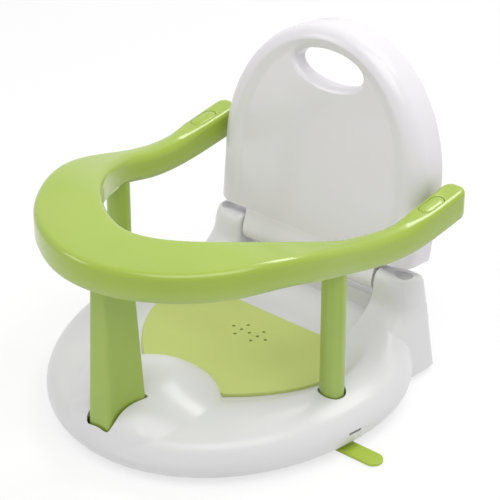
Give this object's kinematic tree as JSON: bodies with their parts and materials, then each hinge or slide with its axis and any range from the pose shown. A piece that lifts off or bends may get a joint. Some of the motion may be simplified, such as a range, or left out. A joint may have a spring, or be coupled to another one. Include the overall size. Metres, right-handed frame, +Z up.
{
  "type": "baby bath seat",
  "caption": "Moulded baby bath seat: sunken base on suction cups, three-post tray ring with arms, and a backrest that folds forward.",
  "frame": {"origin": "on the floor below the middle of the base, the centre of the four suction cups' rest", "axes": "+Z up, -Y is the way the seated child faces, +X is the seat's left-hand side seen from the child"},
  "size_m": [0.332, 0.3351, 0.2738],
  "materials": {
    "white_plastic": "glossy moulded polypropylene",
    "green_plastic": "glossy moulded polypropylene",
    "button_plastic": "glossy moulded plastic",
    "white_pin": "satin moulded plastic",
    "soft_mat": "soft satin elastomer",
    "green_rubber": "soft glossy elastomer",
    "spring_steel": "drawn wire"
  },
  "bodies": {
    "seat": {"base_shell": "white_plastic", "bottom_cover": "white_plastic", "seat_mat": "soft_mat", "ring_upper": "green_plastic", "ring_cover": "green_plastic", "front_post": "green_plastic", "post_left": "green_plastic", "post_right": "green_plastic", "hinge_pin_left": "white_pin", "hinge_pin_right": "white_pin", "suction_cup_front": "green_rubber", "suction_cup_rear": "green_rubber", "suction_cup_left": "green_rubber", "suction_cup_right": "green_rubber", "button_spring_left": "spring_steel", "button_spring_right": "spring_steel"},
    "backrest": {"backrest_shell": "white_plastic", "backrest_cover": "white_plastic"},
    "button_l": {"button_left": "button_plastic"},
    "button_r": {"button_right": "button_plastic"}
  },
  "joints": [
    {"name": "backrest_fold", "type": "hinge", "parent": "seat", "child": "backrest", "pos_m": [0, 0.115, 0.075], "axis": [1, 0, 0], "range_deg": [0, 98]},
    {"name": "button_left_press", "type": "slide", "parent": "seat", "child": "button_l", "axis": [0, 0, -1], "range_m": [0, 0.002], "stiffness_N_per_m": 600, "deforming": ["button_spring_left"]},
    {"name": "button_right_press", "type": "slide", "parent": "seat", "child": "button_r", "axis": [0, 0, -1], "range_m": [0, 0.002], "stiffness_N_per_m": 600, "deforming": ["button_spring_right"]}
  ]
}
